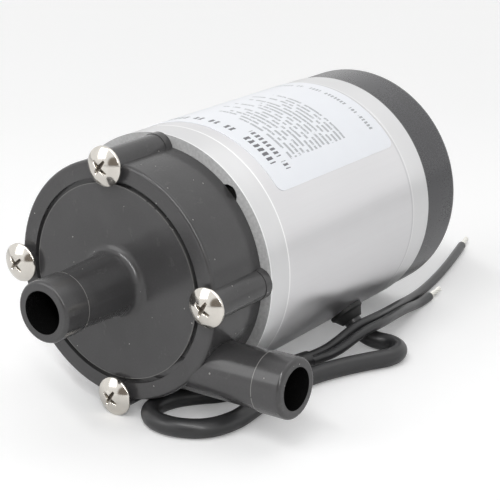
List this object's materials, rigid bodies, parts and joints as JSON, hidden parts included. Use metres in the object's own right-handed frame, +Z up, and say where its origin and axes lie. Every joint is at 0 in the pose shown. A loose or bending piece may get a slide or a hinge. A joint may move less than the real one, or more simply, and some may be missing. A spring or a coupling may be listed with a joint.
{
  "type": "magnetic-drive brewing pump",
  "caption": "Small magnetic-drive pump for hot wort: moulded head with axial inlet and side outlet hose stubs on a round motor, with a bare-ended cable.",
  "frame": {"origin": "on the surface that the pump lies on, under the middle of the pump without its cable", "axes": "+Z up, the shaft along Y with the inlet facing -Y and the motor's cap towards +Y, the outlet facing +X"},
  "size_m": [0.0786, 0.1837, 0.0655],
  "materials": {
    "casing_plastic": "moulded, faintly satin",
    "cap_plastic": "moulded, satin",
    "impeller_plastic": "moulded",
    "bush_carbon": "machined",
    "seal_rubber": "smooth",
    "ceramic": "ground",
    "screw_steel": "polished stainless",
    "cast_aluminium": "satin, turned",
    "tube_metal": "satin",
    "zinc_steel": "zinc plated",
    "bearing_steel": "ground",
    "lamination_steel": "oxidised",
    "copper_winding": "enamelled",
    "cage_aluminium": "die cast",
    "magnet_ferrite": "sintered",
    "capacitor_case": "moulded",
    "label_film": "printed film, blank",
    "cable_pvc": "smooth",
    "tinned_copper": "tinned strands"
  },
  "bodies": {
    "pump": {"front_casing": "casing_plastic", "rear_casing": "casing_plastic", "casing_o_ring": "seal_rubber", "spindle": "ceramic", "front_thrust_washer": "ceramic", "rear_thrust_washer": "ceramic", "casing_screws": "screw_steel", "front_end_bell": "cast_aluminium", "motor_tube": "tube_metal", "rear_end_bell": "cast_aluminium", "tie_bolts": "zinc_steel", "front_bearing_outer_race": "bearing_steel", "rear_bearing_outer_race": "bearing_steel", "preload_washer": "bearing_steel", "stator_core": "lamination_steel", "stator_windings": "copper_winding", "rear_cap": "cap_plastic", "rear_cap_screws": "zinc_steel", "run_capacitor": "capacitor_case", "rating_label": "label_film", "cable_grommet": "cable_pvc", "power_cable": "cable_pvc", "long_lead": "cable_pvc", "short_lead": "cable_pvc", "long_lead_wire_end": "tinned_copper", "short_lead_wire_end": "tinned_copper"},
    "motor_rotor": {"motor_shaft": "bearing_steel", "rotor_core": "lamination_steel", "rotor_cage": "cage_aluminium", "drive_yoke": "zinc_steel", "yoke_grub_screw": "zinc_steel", "drive_magnets": "magnet_ferrite", "front_bearing_inner_race": "bearing_steel", "front_bearing_balls": "bearing_steel", "rear_bearing_inner_race": "bearing_steel", "rear_bearing_balls": "bearing_steel"},
    "impeller_rotor": {"impeller": "impeller_plastic", "impeller_magnet": "magnet_ferrite", "magnet_cap": "impeller_plastic", "impeller_bush": "bush_carbon"}
  },
  "joints": [
    {"name": "motor_spin", "type": "hinge", "parent": "pump", "child": "motor_rotor", "pos_m": [-0.00655, 0.01378, 0.03275], "axis": [0, -1, 0], "continuous": true},
    {"name": "impeller_spin", "type": "hinge", "parent": "pump", "child": "impeller_rotor", "pos_m": [-0.00655, -0.02622, 0.03275], "axis": [0, -1, 0], "continuous": true}
  ],
  "couplings": [
    {"joint": "impeller_spin", "follows": "motor_spin", "ratio": 1}
  ]
}
